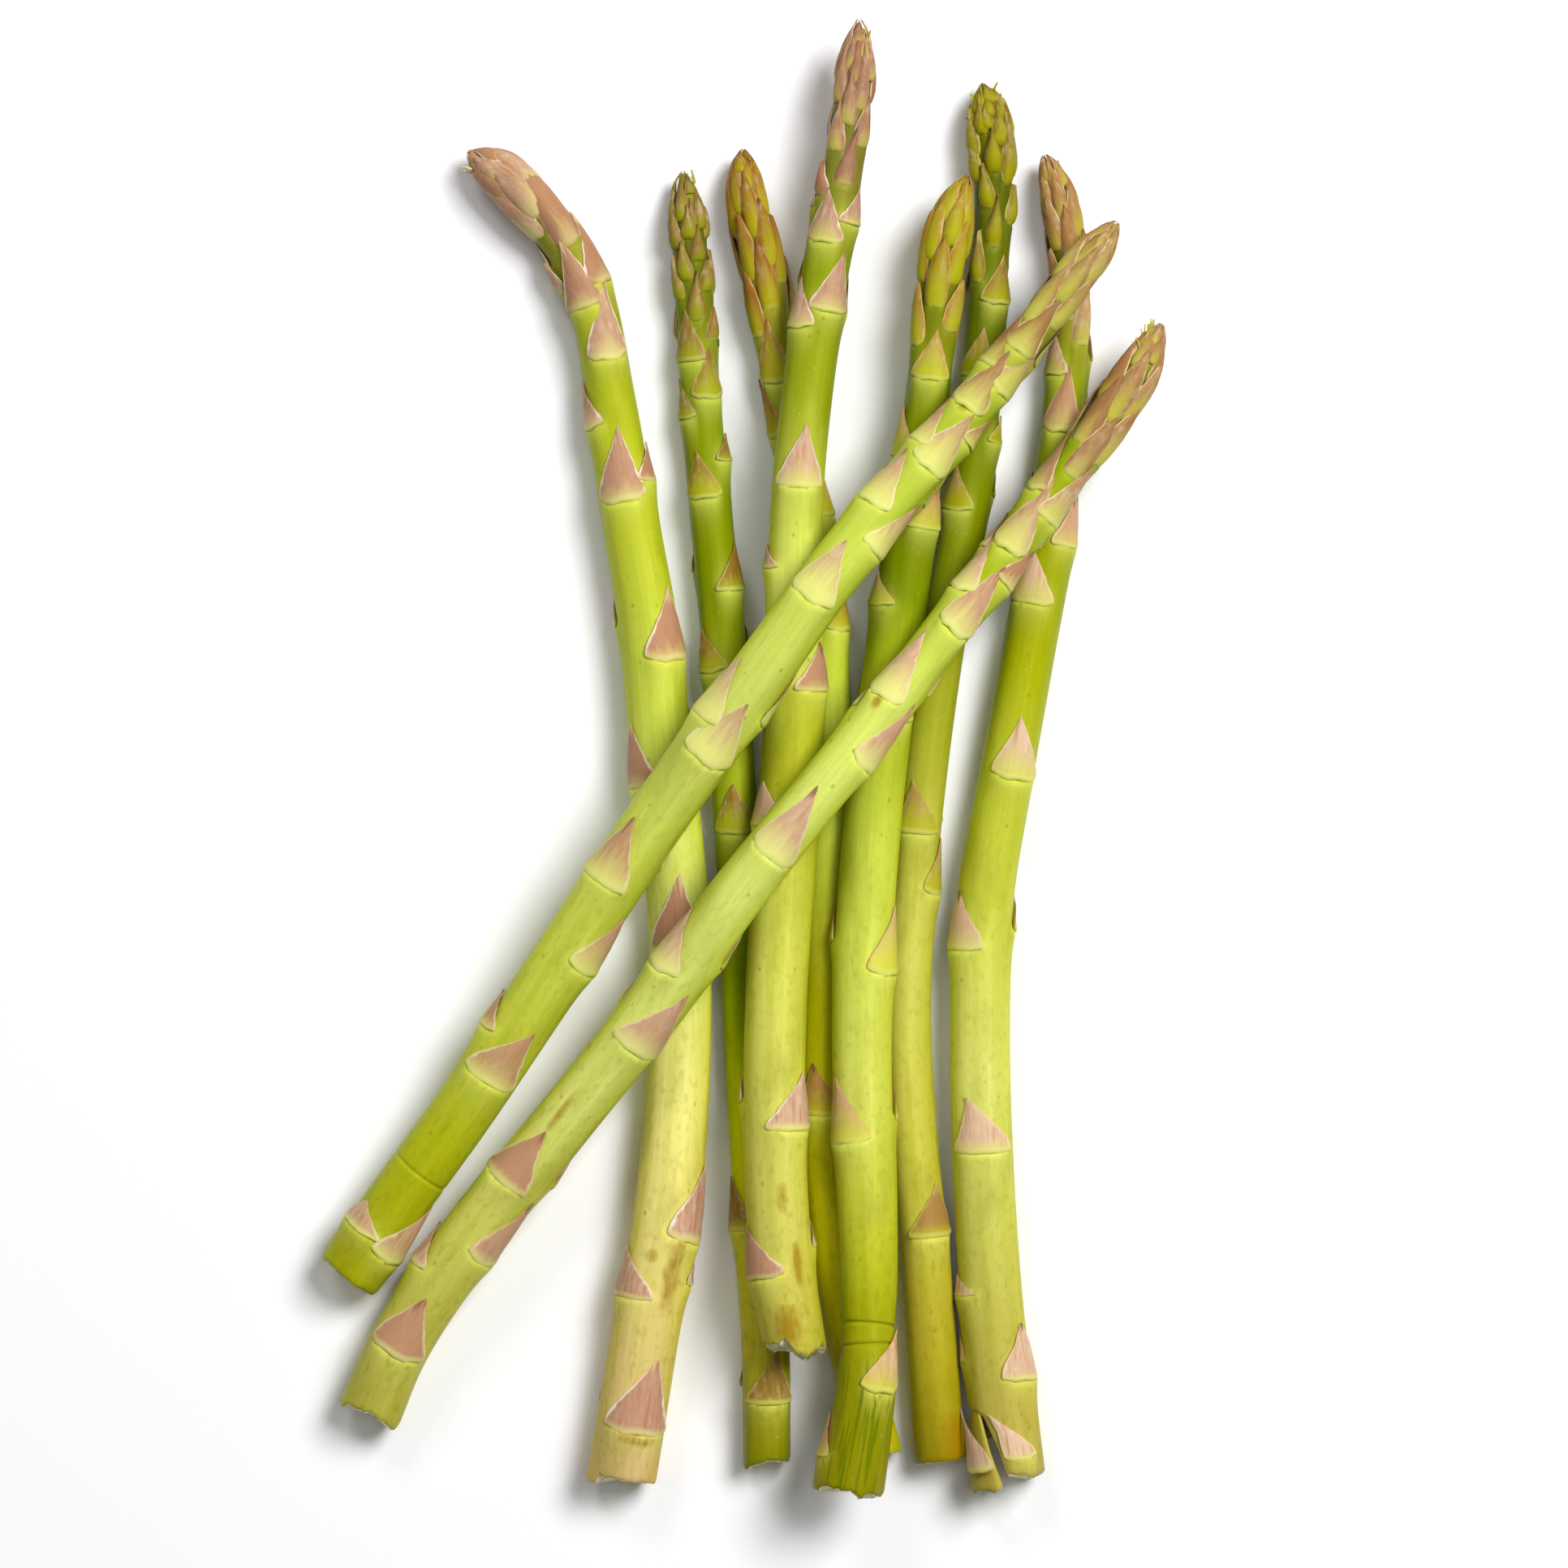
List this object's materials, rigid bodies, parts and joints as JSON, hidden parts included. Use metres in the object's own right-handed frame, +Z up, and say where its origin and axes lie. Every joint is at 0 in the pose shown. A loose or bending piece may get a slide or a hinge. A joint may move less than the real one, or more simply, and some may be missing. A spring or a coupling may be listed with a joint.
{
  "type": "bundle of asparagus",
  "caption": "Loose bundle of fresh green asparagus spears lying flat, some across the others, with pointed scaly heads and cut butts.",
  "frame": {"origin": "centre of the bounding box at the surface that the bundle lies on", "axes": "+Y along the bundle from the cut butts to the heads, +Z up from the surface, +X to the right seen from above with the heads away"},
  "size_m": [0.1401, 0.2452, 0.027],
  "materials": {
    "spear_bent_head": "fresh waxy plant skin, satin, pale green to olive with pink and mauve scales",
    "spear_slim_left": "fresh waxy plant skin, satin, pale green to olive with pink and mauve scales",
    "spear_under_middle": "fresh waxy plant skin, satin, pale green to olive with pink and mauve scales",
    "spear_tall": "fresh waxy plant skin, satin, pale green to olive with pink and mauve scales",
    "spear_kinked_butt": "fresh waxy plant skin, satin, pale green to olive with pink and mauve scales",
    "spear_dark_head": "fresh waxy plant skin, satin, pale green to olive with pink and mauve scales",
    "spear_right": "fresh waxy plant skin, satin, pale green to olive with pink and mauve scales",
    "spear_crossing_upper": "fresh waxy plant skin, satin, pale green to olive with pink and mauve scales",
    "spear_crossing_lower": "fresh waxy plant skin, satin, pale green to olive with pink and mauve scales"
  },
  "bodies": {
    "root": {"spear_bent_head": "spear_bent_head", "spear_slim_left": "spear_slim_left", "spear_under_middle": "spear_under_middle", "spear_tall": "spear_tall", "spear_kinked_butt": "spear_kinked_butt", "spear_dark_head": "spear_dark_head", "spear_right": "spear_right", "spear_crossing_upper": "spear_crossing_upper", "spear_crossing_lower": "spear_crossing_lower"}
  },
  "joints": []
}
